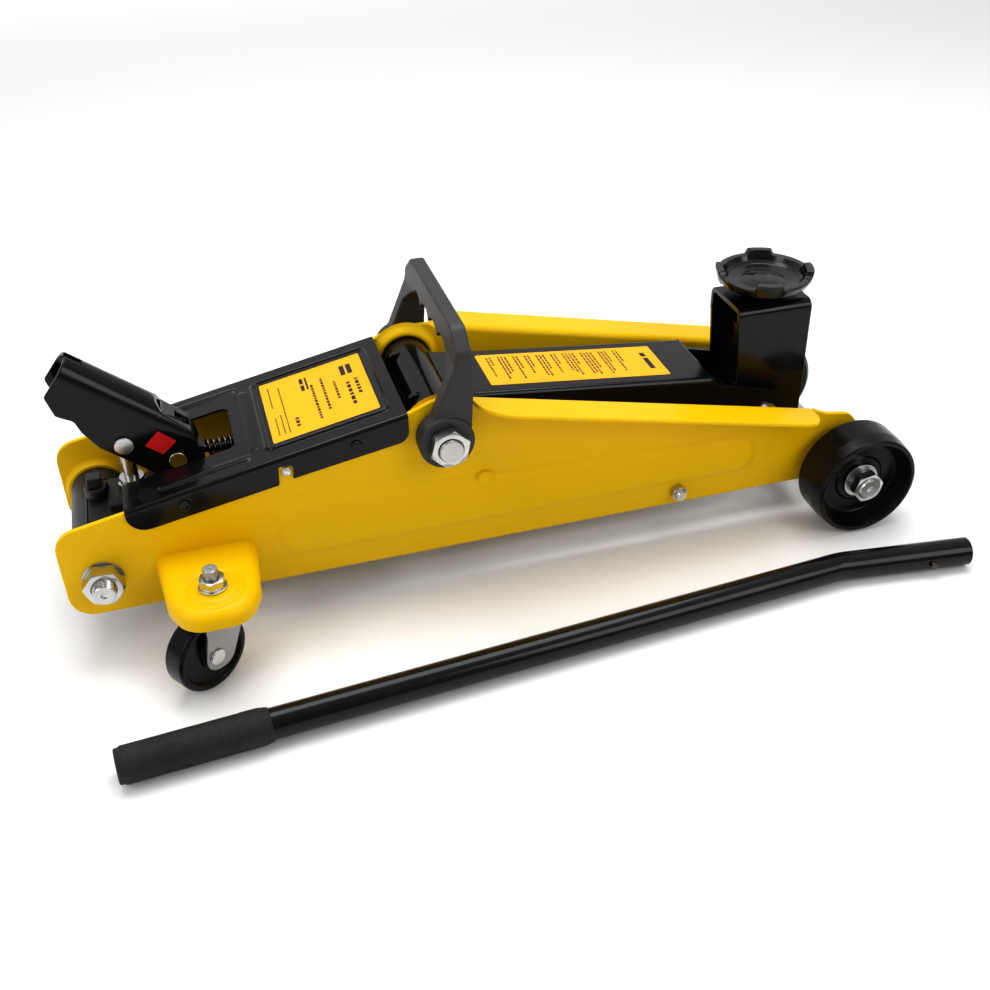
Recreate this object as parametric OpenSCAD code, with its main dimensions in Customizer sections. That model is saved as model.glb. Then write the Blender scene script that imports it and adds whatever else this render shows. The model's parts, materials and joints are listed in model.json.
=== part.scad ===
// Hydraulic trolley jack with its loose pump handle lying on the floor beside it.
// X runs from the handle socket to the saddle, Y to the jack's left, Z up.

/* [Chassis] */
// Distance between the outer faces of the two side plates
chassis_w = 120; // [116:1:130]
// Thickness of the side plates
plate_t = 4; // [3:0.5:5]
// Height of the side plates' bottom edge
plate_low = 31; // [28:1:34]
// Width of the outward flange along the front half of each side plate
flange_w = 25; // [18:1:28]
// Height of the pressed panel above the plate's face
emboss_h = 2; // [1:0.25:2]

/* [Lift] */
// Lift arm pivot, along and up
arm_x = 267; // [265:1:269]
arm_z = 132; // [131:1:133]
// Pivot of the saddle bracket at the front of the arm
lift_x = 532; // [530:1:534]
lift_z = 80; // [79:1:82]
// Distance from the arm pivot to the ram pin
crank_r = 60; // [58:1:62]
// Width of the lift arm across its cheeks
arm_w = 68; // [66:1:70]

/* [Saddle] */
// Height of the load on the lowered saddle
saddle_top = 190; // [188:1:195]
// Radius of the saddle's rim
saddle_r = 36; // [34:1:38]
// Width and length of the saddle bracket
bracket_w = 50; // [48:1:52]
bracket_l = 60; // [58:1:62]

/* [Wheels] */
// Radius and width of the front wheels
wheel_r = 42; // [40:1:43]
wheel_w = 36; // [30:1:38]
// Radius and width of the caster wheels
caster_r = 28; // [26:0.5:28]
caster_w = 17; // [15:1:18]
// Distance from a caster's swivel axis to its axle
caster_trail = 15; // [12:1:16]
// Direction in which the right caster has been left standing
right_caster_turn = 35; // [0:5:60]
// Direction in which the left caster has been left standing
left_caster_turn = 20; // [0:5:60]

/* [Pump handle] */
// Outer radius of the handle tube
tube_r = 10.5; // [10:0.25:11]
// Wall of the handle tube
tube_wall = 1.8; // [1.5:0.1:2.2]
// Straight length up to the bend, and length beyond it
tube_long = 526; // [500:1:540]
tube_short = 101; // [90:1:110]
// Bend of the tube
tube_bend = 11.4; // [8:0.2:14]
// Radius and length of the rubber grip
grip_r = 12.5; // [12:0.25:14]
grip_l = 95; // [80:1:110]

/* [Hidden] */
$fn = 96;
yellow = "gold";
black = "#202020";
steel = "silver";
cast = "#2c2c2c";

// Point of the floor below the middle of the whole set's box
frame_centre = [324, -35, 0];
half_w = chassis_w / 2;
inner_w = half_w - plate_t;
// Running clearance of a shaft in its hole
run = 0.05;
// Clearance of a plastic eye on its shaft
loose = 0.09;

// Line of the side plate's rear top edge: height at the rear end, and rise per length
edge_z0 = 100;
edge_rise = 0.2;
edge_angle = atan(edge_rise);
// Line of the front flange's top face, falling to the front
flange_x0 = 289;
flange_x1 = 557;
flange_z0 = 155;
flange_fall = 0.2215;
flange_t = 3.4;
flange_angle = atan(flange_fall);
function edge_z(x) = edge_z0 + edge_rise * x;
function flange_z(x) = flange_z0 - flange_fall * (x - flange_x0);

// Places on the chassis
rear_bolt = [26, 61];
axle = [591, wheel_r];
tie = [450, 43];
wheel_gap = 5;
caster_xy = [97, 107];
caster_top = 71;

// Lift geometry
arm_shaft_r = 8;
arm_tube_r = 18;
lift_pin_r = 8;
ram_pin_r = 7;
cheek_t = 4;
half_arm = arm_w / 2;
link_drop = [30, -46];
link_pin_r = 6;
link_y = 41;
link_t = 6;
lift_stroke = 39;
crank = [arm_x - crank_r * sin(lift_stroke), arm_z - crank_r * cos(lift_stroke)];
ram_z = 77;
barrel_r = 23;
barrel_x = [66, 196];
bracket_x = lift_x - 25;
bracket_top = 169;
bracket_t = 4;

// Handle socket: its hinge, its tilt, and places along and across it
socket_hinge = [88.5, 116.5];
socket_tilt = 39;
socket_pin_r = 5.5;
plunger_at = [37.3, -6.8];
plunger_pin_r = 5;
socket_bore_v = 15.5;
socket_bore_r = 11.75;
socket_out_r = 14.5;
socket_mouth = 98.5;
plunger_x = 54.5;
plunger_r = 5;
plunger_top = 127.7;

// Release rod above the ram barrel
release_z = 113;

// Pump handle on the floor
handle_from = [21, -190.3];
handle_heading = 4.7;

// ---- shape helpers ----

// Corner points of an outline with each corner [x, y, radius] turned into an arc
function unit(v) = v / norm(v);
function corner(a, p, b, n) = let (
        c = [p[0], p[1]], u = unit([a[0], a[1]] - c), w = unit([b[0], b[1]] - c),
        half = acos(max(-1, min(1, u * w))) / 2, reach = p[2] / tan(half),
        mid = c + unit(u + w) * (p[2] / sin(half)), s = c + u * reach - mid, e = c + w * reach - mid,
        turn = 2 * (90 - half) * sign(s[0] * e[1] - s[1] * e[0]))
    p[2] == 0 ? [c] : [for (i = [0:n]) let (t = turn * i / n)
        mid + [s[0] * cos(t) - s[1] * sin(t), s[0] * sin(t) + s[1] * cos(t)]];
function rounded(p, n = 6) = [for (i = [0:len(p) - 1])
    each corner(p[(i + len(p) - 1) % len(p)], p[i], p[(i + 1) % len(p)], n)];

module placed() { translate(-frame_centre) children(); }
module both_sides() {
    children();
    mirror([0, 1, 0]) children();
}
// A flat sheet standing in the XZ plane, from y0 outward by t
module sheet(points, y0, t) {
    translate([0, y0 + t, 0]) rotate([90, 0, 0]) linear_extrude(t) polygon(points);
}
module rod_y(at, r, y0, y1, sides = 96) {
    translate([at[0], y1, at[1]]) rotate([90, 0, 0]) cylinder(r = r, h = y1 - y0, $fn = sides);
}
module rod_x(z, r, x0, x1, sides = 96) {
    translate([x0, 0, z]) rotate([0, 90, 0]) cylinder(r = r, h = x1 - x0, $fn = sides);
}
// Ring around a Y axis
module ring_y(at, outer, inner, y0, y1) {
    difference() {
        rod_y(at, outer, y0, y1);
        rod_y(at, inner, y0 - 1, y1 + 1);
    }
}
// Hexagon nut on a Y axis, across flats af, bored for its thread
module nut_y(at, af, bore, y0, y1, turn = 0) {
    difference() {
        translate([at[0], y1, at[1]]) rotate([90, 0, 0]) rotate([0, 0, turn])
            cylinder(r = af / sqrt(3), h = y1 - y0, $fn = 6);
        rod_y(at, bore, y0 - 1, y1 + 1);
    }
}

// ---- chassis ----

plate_outline = rounded([[0, edge_z(0), 17], [240, edge_z(240), 20], [262, 157, 14], [287, 156, 10],
    [330, flange_z(330) - 1.6, 0], [flange_x1 + 2, flange_z(flange_x1 + 2) - 1.6, 0],
    [flange_x1 + 15, 88.5, 8], [592, 85, 10], [613, 60, 16], [612, plate_low, 16], [0, plate_low, 17]]);
panel_outline = rounded([[148, 95, 15], [512, 82, 12], [514, 52, 12], [146, 50, 15]]);

module side_plate() {
    difference() {
        union() {
            sheet(plate_outline, inner_w, plate_t);
            sheet(panel_outline, half_w, emboss_h);
            // collars round the power unit and the arm tube
            rod_y(rear_bolt, 24.5, inner_w - 6, inner_w);
            rod_y([arm_x, arm_z], 22.5, inner_w - 6, inner_w);
            front_flange();
        }
        rod_y(rear_bolt, 21.5, inner_w - 7, inner_w);
        rod_y([arm_x, arm_z], 19, inner_w - 7, inner_w);
        rod_y(rear_bolt, 8 + run, 0, half_w + 1);
        rod_y([arm_x, arm_z], arm_shaft_r + run, 0, half_w + 1);
        rod_y(axle, 9 + run, 0, half_w + 1);
        rod_y(tie, 4 + run, 0, half_w + 1);
        rod_y(link_anchor(), link_pin_r + run, 0, half_w + 3);
        for (x = [88, 207]) rod_y([x, edge_z(x) - 8.5], 2.5 + run, 0, half_w + 1);
        rod_y([158, edge_z(158) - 10], 2 + run, 0, half_w + 1);
    }
}
// Outward flange along the front half, with rounded corners
module front_flange() {
    length = (flange_x1 - flange_x0) / cos(flange_angle);
    width = flange_w + plate_t;
    translate([flange_x0, inner_w, flange_z0]) rotate([0, flange_angle, 0]) translate([0, 0, -flange_t])
        linear_extrude(flange_t) polygon(rounded([[0, 0, 0], [length, 0, 0], [length, width, 9],
            [2, width, 22]]));
}
module side_plate_left() color(yellow) placed() side_plate();
module side_plate_right() color(yellow) placed() mirror([0, 1, 0]) side_plate();

// Pressed caster bracket: a flat top with a skirt on three sides, welded to the plate
bracket_rim = rounded([[61, half_w, 0], [131, half_w, 0], [127, 112, 22], [117, 135, 20],
    [77, 135, 20], [66, 112, 22]]);
bracket_hollow = rounded([[64, half_w - 1, 0], [128, half_w - 1, 0], [124, 111, 20],
    [115, 132, 17], [79, 132, 17], [69, 111, 20]]);
module caster_bracket() {
    difference() {
        union() {
            translate([0, 0, caster_top - 13]) linear_extrude(13) polygon(bracket_rim);
            translate([caster_xy[0], caster_xy[1], caster_top]) cylinder(r = 20, h = 1.2);
        }
        translate([0, 0, caster_top - 14]) linear_extrude(11) polygon(bracket_hollow);
        translate([caster_xy[0], caster_xy[1], caster_top - 4]) cylinder(r = 5 + run, h = 7);
    }
}
module caster_bracket_left() color(yellow) placed() caster_bracket();
module caster_bracket_right() color(yellow) placed() mirror([0, 1, 0]) caster_bracket();

// ---- rear cover ----

cover_x = [49, 244];
cover_t = 1.8;
cover_drop = 19;
slot_half = 28;
slot_front = 128;
module cover_screw_places(y0, y1, clear) {
    for (x = [88, 207]) rod_y([x, edge_z(x) - 8.5], 2.5 + clear, y0, y1);
}
// Outline of the cover seen from above, with the slot round the handle socket
module cover_plan() {
    out = half_w + cover_t;
    difference() {
        translate([cover_x[0], -out]) square([cover_x[1] - cover_x[0], 2 * out]);
        polygon(rounded([[cover_x[0] - 20, -slot_half, 0], [slot_front, -slot_half, 6],
            [slot_front, slot_half, 6], [cover_x[0] - 20, slot_half, 0]]));
    }
}
module cover_flange() {
    z0 = edge_z(cover_x[0]);
    z1 = edge_z(cover_x[1]);
    difference() {
        sheet(rounded([[cover_x[0], z0 + 0.1, 0], [cover_x[1], z1 + 0.1, 0],
            [cover_x[1], z1 - cover_drop, 9], [160, edge_z(160) - cover_drop + 1.8, 0],
            [151, edge_z(151) - cover_drop + 0.4, 0], [cover_x[0], z0 - cover_drop + 1.4, 13]]),
            half_w, cover_t);
        // notch that lets the small screw's boss show
        sheet(rounded([[151, 95, 0], [160, 95, 0], [163, edge_z(158) - 5.5, 3], [153, edge_z(158) - 5.5, 1]]),
            half_w - 1, cover_t + 2);
        cover_screw_places(half_w - 1, half_w + 4, run);
    }
}
module rear_cover() color(black) placed() {
    multmatrix([[1, 0, 0, 0], [0, 1, 0, 0], [edge_rise, 0, 1, edge_z0], [0, 0, 0, 1]]) {
        linear_extrude(cover_t) cover_plan();
        // raised border round the label
        translate([0, 0, cover_t]) linear_extrude(1.6) difference() {
            polygon(rounded([[147, -48, 6], [234, -48, 6], [234, 48, 6], [147, 48, 6]]));
            polygon(rounded([[151, -44, 4], [230, -44, 4], [230, 44, 4], [151, 44, 4]]));
        }
        // stiffening beads along the two legs
        translate([0, 0, cover_t]) linear_extrude(1.4) {
            for (y = [-48, 48]) polygon(rounded([[72, y - 4, 3.9], [136, y - 4, 3.9],
                [136, y + 4, 3.9], [72, y + 4, 3.9]]));
        }
    }
    both_sides() cover_flange();
}
module cover_bolts() color(black) placed() both_sides() {
    cover_screw_places(inner_w - 2, half_w + cover_t, 0);
    for (x = [88, 207]) rod_y([x, edge_z(x) - 8.5], 4, half_w + cover_t, half_w + cover_t + 2.4);
}
module cover_screws() color(steel) placed() both_sides() {
    rod_y([158, edge_z(158) - 10], 2, inner_w - 2, half_w);
    rod_y([158, edge_z(158) - 10], 3.2, half_w, half_w + 2);
}

// ---- hydraulic power unit ----

// Casting: a cross cylinder between the plates, the pump block and the lug for the socket
module power_unit() color(cast) placed() difference() {
    union() {
        rod_y(rear_bolt, 20.5, -inner_w, inner_w);
        translate([20, -30, 45]) cube([46, 60, 38]);
        translate([36, -18, 82]) cube([30, 36, 9]);
        rod_x(ram_z, barrel_r + 4, barrel_x[0] - 0.5, barrel_x[0] + 12);
        sheet(rounded([[67, 82, 0], [96, 101, 3], [98.5, 113, 0], [98.5, 126, 9.4], [79, 126, 9.4],
            [76, 108, 6], [67, 102, 3]]), -8, 16);
        translate([28, 8, 84]) rotate([0, 0, 20]) cylinder(r = 8, h = 9);
    }
    rod_y(rear_bolt, 8 + run, -inner_w - 1, -inner_w + 26);
    rod_y(rear_bolt, 8 + run, inner_w - 26, inner_w + 1);
    translate([plunger_x, 0, 55]) cylinder(r = 8 + run, h = 40);
    rod_x(ram_z, barrel_r + run, barrel_x[0], 200);
    rod_y(socket_hinge, socket_pin_r + run, -20, 20);
    translate([28, 8, 86]) cylinder(r = 4 + run, h = 10);
    rod_x(release_z, 4.5, 95, 100);
}
module ram_barrel() color(black) placed() difference() {
    rod_x(ram_z, barrel_r, barrel_x[0], barrel_x[1] - 14);
    rod_x(ram_z, barrel_r - 5, barrel_x[0] + 5, barrel_x[1]);
}
module barrel_gland() color(black) placed() difference() {
    union() {
        rod_x(ram_z, barrel_r + 2.5, barrel_x[1] - 14, barrel_x[1], 8);
        rod_x(ram_z, barrel_r - 5.1, barrel_x[1] - 24, barrel_x[1] - 14);
    }
    rod_x(ram_z, 11 + run, barrel_x[1] - 30, barrel_x[1] + 1);
}
module pump_cylinder() color(steel) placed() difference() {
    union() {
        translate([plunger_x, 0, 57]) cylinder(r = 8, h = 34);
        translate([plunger_x, 0, 91]) cylinder(r = 10.5, h = 5, $fn = 6);
        translate([plunger_x, 0, 96]) cylinder(r = 8.5, h = 5);
    }
    translate([plunger_x, 0, 58]) cylinder(r = plunger_r + run, h = 50);
}
module filler_plug() color(black) placed() {
    translate([28, 8, 86]) cylinder(r = 4, h = 7);
    translate([23, 3, 93]) cube([10, 10, 8]);
}
module rear_bolts() color(steel) placed() both_sides() rod_y(rear_bolt, 8, inner_w - 26, half_w + 20);
module rear_washers() color(steel) placed() both_sides() {
    ring_y(rear_bolt, 15, 8 + run, half_w, half_w + 2);
    ring_y(rear_bolt, 13, 8 + run, half_w + 2, half_w + 4.5);
}
module rear_nuts() color(steel) placed() both_sides()
    nut_y(rear_bolt, 24, 8 + run, half_w + 4.5, half_w + 17, 10);

// ---- release rod ----

module release_coupling() color(steel) placed() {
    rod_x(release_z, 3, 107, 150);
    difference() {
        translate([99.6, -5.5, release_z - 5.5]) cube([7.4, 11, 11]);
        translate([98, -2.5, release_z - 7]) cube([5, 5, 14]);
    }
}
module release_spring() color(steel) placed() difference() {
    rod_x(release_z, 7, 107.5, 146);
    rod_x(release_z, 5, 106, 150);
}

// ---- axles, pins and their nuts ----

module arm_shaft() color(steel) placed() rod_y([arm_x, arm_z], arm_shaft_r, -half_w - 29, half_w + 29);
module arm_shaft_nuts() color(steel) placed() both_sides()
    nut_y([arm_x, arm_z], 25, arm_shaft_r + run, half_w + 18.3, half_w + 27.5, 14);
axle_out = half_w + wheel_gap + wheel_w;
module front_axle() color(steel) placed() {
    rod_y(axle, 9, -axle_out + 13, axle_out - 13);
    rod_y(axle, 8, -axle_out - 2, axle_out + 2);
}
module axle_washers() color(steel) placed() both_sides() {
    ring_y(axle, 14, 8 + run, axle_out - 12.6, axle_out - 10.3);
    ring_y(axle, 12.5, 8 + run, axle_out - 10.1, axle_out - 6.3);
}
module axle_nuts() color(steel) placed() both_sides()
    nut_y(axle, 22, 8 + run, axle_out - 6, axle_out + 1.4, 20);
module tie_rod() color(steel) placed() {
    rod_y(tie, 4, -half_w - 9, half_w + 9);
    difference() {
        rod_y(tie, 6, -inner_w, inner_w);
        rod_y(tie, 4, -inner_w - 1, inner_w + 1);
    }
}
module tie_rod_nuts() color(steel) placed() both_sides()
    nut_y(tie, 11, 4 + run, half_w, half_w + 6.5, 8);
function link_anchor() = [arm_x + link_drop[0], arm_z + link_drop[1]];
module link_anchor_pins() color(yellow) placed() both_sides() {
    rod_y(link_anchor(), link_pin_r, link_y - 3, half_w + emboss_h);
    ring_y(link_anchor(), 9, link_pin_r, link_y + link_t + 0.4, inner_w);
}
module socket_hinge_pin() color(steel) placed() {
    rod_y(socket_hinge, socket_pin_r, -socket_out_r - 0.4, socket_out_r + 0.4);
    both_sides() rod_y(socket_hinge, socket_pin_r + 0.8, socket_out_r + 0.4, socket_out_r + 2);
}

// ---- lift arm ----

arm_outline = rounded([[250, 150, 10], [300, 141.5, 4], [486, 121, 3], [490, 113, 3], [552, 98, 19],
    [552, 59, 18], [500, 62, 20], [330, 88, 30], [268, 72, 12], [240, 66, 14], [208, 70, 14],
    [212, 102, 14], [242, 118, 12]]);
module lift_arm() color(black) placed() difference() {
    union() {
        both_sides() sheet(arm_outline, half_arm - cheek_t, cheek_t);
        // top plate between the cheeks
        intersection() {
            sheet(arm_outline, -half_arm, arm_w);
            translate([284, -half_arm, 0]) rotate([0, 6.3, 0]) translate([-20, 0, 134.5])
                cube([222, arm_w, 30]);
        }
        // doubler rings on the saddle pivot
        both_sides() ring_y([lift_x, lift_z], 14, lift_pin_r, half_arm - cheek_t - 4, half_arm - cheek_t);
    }
    rod_y([arm_x, arm_z], arm_tube_r, -inner_w, inner_w);
    rod_y([lift_x, lift_z], lift_pin_r + run, -inner_w, inner_w);
    rod_y(crank, ram_pin_r + run, -inner_w, inner_w);
}
// Tube welded across the arm, which turns on the shaft
module arm_tube() color(black) placed() difference() {
    rod_y([arm_x, arm_z], arm_tube_r, -inner_w + 4, inner_w - 4);
    rod_y([arm_x, arm_z], arm_shaft_r + run, -inner_w, inner_w);
}
module ram_pin() color(steel) placed() {
    rod_y(crank, ram_pin_r, -half_arm, half_arm);
    both_sides() rod_y(crank, ram_pin_r + 2, half_arm, half_arm + 2.5);
}
module saddle_hinge_pin() color(steel) placed() rod_y([lift_x, lift_z], lift_pin_r, -half_arm - 5, half_arm + 5);
module saddle_pin_clips() color(steel) placed() both_sides()
    ring_y([lift_x, lift_z], lift_pin_r + 3, lift_pin_r, half_arm, half_arm + 1.6);

// ---- saddle bracket, saddle and levelling links ----

link_foot = [lift_x + link_drop[0], lift_z + link_drop[1]];
half_b = bracket_w / 2;
wall_outline = rounded([[bracket_x, bracket_top - 14, 0], [bracket_x + bracket_l, bracket_top - 14, 0],
    [bracket_x + bracket_l + 1, 60, 20], [link_foot[0] + 13, link_foot[1] + 4, 5],
    [link_foot[0] + 11, link_foot[1] - 10, 8], [link_foot[0] - 11, link_foot[1] - 10, 8],
    [bracket_x + 12, 60, 12], [bracket_x + 4, 66, 10], [bracket_x + 4, 100, 10]]);
module saddle_bracket() color(black) placed() difference() {
    union() {
        both_sides() sheet(wall_outline, half_b - bracket_t, bracket_t);
        intersection() {
            translate([bracket_x, 0, 0]) rotate([90, 0, 90]) linear_extrude(bracket_l)
                difference() {
                    polygon(rounded([[-half_b, 100, 0], [half_b, 100, 0], [half_b, bracket_top, 7],
                        [-half_b, bracket_top, 7]]));
                    polygon(rounded([[-half_b + bracket_t, 99, 0], [half_b - bracket_t, 99, 0],
                        [half_b - bracket_t, bracket_top - bracket_t, 3],
                        [-half_b + bracket_t, bracket_top - bracket_t, 3]]));
                }
            translate([0, -half_b, 150]) cube([700, bracket_w, 30]);
        }
        // cross web
        translate([bracket_x + 12, -half_b + bracket_t, 96]) cube([4, bracket_w - 2 * bracket_t, 48]);
        rod_y(link_foot, 9, -half_b + 1, half_b - 1);
    }
    rod_y([lift_x, lift_z], lift_pin_r + run, -40, 40);
    rod_y(link_foot, link_pin_r + run, -40, 40);
    translate([lift_x + 5, 0, 150]) cylinder(r = 7 + run, h = 30);
}
module link_pin() color(steel) placed() rod_y(link_foot, link_pin_r, -link_y - link_t - 4, link_y + link_t + 4);
module saddle() color(black) placed() translate([lift_x + 5, 0, 0]) difference() {
    top = saddle_top;
    union() {
        rotate_extrude() polygon([[0, bracket_top + 0.3], [16, bracket_top + 0.3], [17, 173],
            [24, 175], [saddle_r - 4, 179], [saddle_r, 185], [saddle_r, 187], [saddle_r - 5, 187],
            [saddle_r - 8, 183.5], [18, 181], [10, 181], [8, 183], [0, 183]]);
        translate([0, 0, bracket_top - 20]) cylinder(r = 7, h = 22);
        for (a = [-20:90:250]) rotate([0, 0, a]) intersection() {
            translate([saddle_r - 6, -10, 184]) cube([7, 20, top - 184]);
            cylinder(r = saddle_r + 1, h = top);
        }
    }
}
module saddle_nut() color(steel) placed() translate([lift_x + 5, 0, bracket_top - bracket_t - 9.3])
    difference() {
        cylinder(r = 12.5, h = 9, $fn = 6);
        translate([0, 0, -1]) cylinder(r = 7, h = 12);
    }
// Two bars that keep the bracket upright; their front eyes are open by a small clearance
module link_rods() color(black) placed() both_sides() {
    anchor = link_anchor();
    l = norm(link_foot - anchor);
    tilt = atan2(link_foot[1] - anchor[1], link_foot[0] - anchor[0]);
    difference() {
        translate([anchor[0], 0, anchor[1]]) rotate([0, -tilt, 0]) sheet(rounded([[-10, -10, 9],
            [12, -10, 5], [22, -5, 6], [l - 22, -5, 6], [l - 12, -10, 5], [l + 10, -10, 9],
            [l + 10, 10, 9], [l - 12, 10, 5], [l - 22, 5, 6], [22, 5, 6], [12, 10, 5],
            [-10, 10, 9]]), link_y, link_t);
        rod_y(anchor, link_pin_r + run, 30, half_w);
        rod_y(link_foot, link_pin_r + 0.3, 30, half_w);
    }
}

// ---- ram ----

module ram_rod() color(steel) placed() rod_x(ram_z, 11, 74, crank[0] - 24);
// Fork whose tall eyes let the ram pin rise and fall as it swings round the arm's pivot
module ram_head() color(steel) placed() difference() {
    union() {
        rod_x(ram_z, 14, crank[0] - 24, crank[0] - 18);
        both_sides() sheet(rounded([[crank[0] - 20, 62, 4], [crank[0] + 13, 62, 10],
            [crank[0] + 13, 100, 10], [crank[0] - 20, 100, 4]]), 14, 12);
        translate([crank[0] - 24, -26, 64]) cube([6, 52, 30]);
    }
    both_sides() sheet(rounded([[crank[0] - ram_pin_r - 2.5, 62.5, 5], [crank[0] + ram_pin_r + 2.5, 62.5, 5],
        [crank[0] + ram_pin_r + 2.5, 95, 5], [crank[0] - ram_pin_r - 2.5, 95, 5]]), 10, 20);
}

// ---- handle socket and pump plunger ----

module in_socket_frame() {
    translate([socket_hinge[0], 0, socket_hinge[1]]) rotate([0, 180 + socket_tilt, 0]) mirror([0, 0, 1])
        children();
}
// Place across the floor plan of a point given along and across the socket
function socket_point(p) = socket_hinge + [-p[0] * cos(socket_tilt) + p[1] * sin(socket_tilt),
    p[0] * sin(socket_tilt) + p[1] * cos(socket_tilt)];
socket_profile = rounded([[socket_mouth, 30, 0], [36, 30, 12], [26, 25, 8], [2, 23, 5], [-13, 11, 3],
    [-11, -10, 8], [8, -17, 10], [51, -16, 14], [66, -11, 10], [74, -6, 6], [86, -8, 4],
    [socket_mouth, 1, 3]]);
module handle_socket() color(black) placed() difference() {
    in_socket_frame() difference() {
        intersection() {
            sheet(socket_profile, -socket_out_r, 2 * socket_out_r);
            translate([-20, 0, 0]) rotate([90, 0, 90]) linear_extrude(140) {
                translate([0, socket_bore_v]) circle(r = socket_out_r);
                translate([-socket_out_r, -30]) square([2 * socket_out_r, 30 + socket_bore_v]);
            }
        }
        // bore for the handle, open below between the cheeks
        translate([26, 0, 0]) rotate([90, 0, 90]) linear_extrude(90) {
            translate([0, socket_bore_v]) circle(r = socket_bore_r);
            translate([-socket_bore_r, -30]) square([2 * socket_bore_r, 30 + socket_bore_v]);
        }
        translate([-30, -socket_bore_r, -40]) cube([57, 2 * socket_bore_r, 59]);
        // slot at the front of the top, and the notch at the mouth
        translate([4, -4, 10]) cube([11, 8, 30]);
        translate([socket_mouth - 12, -3, 20]) cube([14, 6, 20]);
    }
    rod_y(socket_hinge, socket_pin_r + run, -20, 20);
    rod_y(socket_point(plunger_at), plunger_pin_r + run, -20, 20);
}
module plunger_pin() color(steel) placed() {
    rod_y(socket_point(plunger_at), plunger_pin_r, -socket_out_r, socket_out_r);
    both_sides() rod_y(socket_point(plunger_at), plunger_pin_r + 1.6, socket_out_r, socket_out_r + 2);
}
module pump_plunger() color(steel) placed()
    translate([plunger_x, 0, 76]) cylinder(r = plunger_r, h = plunger_top - 76);

// ---- carry handle ----

// Seen along the jack: two legs and a grip bar with finger notches underneath
module carry_front_view() {
    notch_y = [-36, -12, 12, 36];
    difference() {
        polygon(rounded([[-75, arm_z, 0], [-75, 196, 8], [-58, 210, 12], [58, 210, 12], [75, 196, 8],
            [75, arm_z, 0], [62.6, arm_z, 0], [62.6, 176, 6], [50, 187, 8], [-50, 187, 8],
            [-62.6, 176, 6], [-62.6, arm_z, 0]]));
        for (y = notch_y) translate([y, 178]) circle(r = 14);
    }
}
module carry_handle() color(black) placed() difference() {
    union() {
        intersection() {
            translate([240, 0, 0]) rotate([90, 0, 90]) linear_extrude(60) carry_front_view();
            sheet(rounded([[251, arm_z, 0], [262, 158, 20], [275, 188, 20], [276.5, 214, 3],
                [287, 214, 3], [287.5, 170, 20], [284, arm_z, 0]]), -80, 160);
        }
        both_sides() rod_y([arm_x, arm_z], 19.5, half_w + 2.6, half_w + 18);
    }
    rod_y([arm_x, arm_z], arm_shaft_r + loose, -90, 90);
}

// ---- wheels ----

module front_wheel() difference() {
    translate([axle[0], half_w + wheel_gap, axle[1]]) rotate([-90, 0, 0]) rotate_extrude()
        polygon([[9 + run, 0], [wheel_r - 3, 0], [wheel_r, 3], [wheel_r, wheel_w - 4],
            [wheel_r - 2, wheel_w - 1], [wheel_r - 4, wheel_w], [wheel_r - 7, wheel_w - 1.5],
            [wheel_r - 9, wheel_w - 11], [wheel_r - 13, wheel_w - 14.5], [20, wheel_w - 14.5],
            [18, wheel_w - 13], [9 + run, wheel_w - 13]]);
}
module front_wheel_left() color(black) placed() front_wheel();
module front_wheel_right() color(black) placed() mirror([0, 1, 0]) front_wheel();

module at_caster(turn) {
    translate([caster_xy[0], caster_xy[1], 0]) rotate([0, 0, turn]) children();
}
fork_top = caster_top - 3.4;
module caster_fork(turn) {
    axle_x = -caster_trail;
    half = caster_w / 2 + 0.8;
    at_caster(turn) difference() {
        union() {
            both_sides() sheet(rounded([[-19, fork_top, 0], [11, fork_top, 0], [11, 46, 12],
                [axle_x + 11.5, 16.5, 10.5], [axle_x - 11, 16.5, 10.5], [-20, 46, 12]]), half, 2.5);
            translate([-19, -half - 2.5, fork_top - 2.6]) cube([30, 2 * half + 5, 2.6]);
            // swivel stud riveted into the fork
            translate([0, 0, fork_top]) cylinder(r = 9, h = 0.3);
            translate([0, 0, fork_top]) cylinder(r = 5, h = 20);
        }
        rod_y([axle_x, caster_r], 4 + run, -30, 30);
        // room for the wheel under the stud
        rod_y([axle_x, caster_r], caster_r + 1, -half, half);
    }
}
module caster_nut() translate([caster_xy[0], caster_xy[1], caster_top + 1.3]) {
    difference() {
        union() {
            cylinder(r = 9, h = 1.4);
            translate([0, 0, 1.4]) cylinder(r = 9.2, h = 7.5, $fn = 6);
        }
        translate([0, 0, -1]) cylinder(r = 5, h = 12);
    }
}
module caster_axle(turn) at_caster(turn) {
    rod_y([-caster_trail, caster_r], 4, -caster_w / 2 - 3.3, caster_w / 2 + 3.3);
    both_sides() rod_y([-caster_trail, caster_r], 6, caster_w / 2 + 3.3, caster_w / 2 + 5);
}
module caster_wheel(turn) at_caster(turn) translate([-caster_trail, 0, caster_r]) rotate([90, 0, 0])
    rotate_extrude() polygon(concat([[4 + run, -caster_w / 2], [9, -caster_w / 2],
        [10, -caster_w / 2 + 2.5], [caster_r - 5, -caster_w / 2 + 2.5], [caster_r - 4, -caster_w / 2],
        [caster_r - 2, -caster_w / 2], [caster_r, -caster_w / 2 + 2]],
        [[caster_r, caster_w / 2 - 2], [caster_r - 2, caster_w / 2], [caster_r - 4, caster_w / 2],
        [caster_r - 5, caster_w / 2 - 2.5], [10, caster_w / 2 - 2.5], [9, caster_w / 2],
        [4 + run, caster_w / 2]]));
module caster_fork_left() color(steel) placed() caster_fork(left_caster_turn);
module caster_fork_right() color(steel) placed() mirror([0, 1, 0]) caster_fork(-right_caster_turn);
module caster_nut_left() color(steel) placed() caster_nut();
module caster_nut_right() color(steel) placed() mirror([0, 1, 0]) caster_nut();
module caster_axle_left() color(steel) placed() caster_axle(left_caster_turn);
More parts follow.
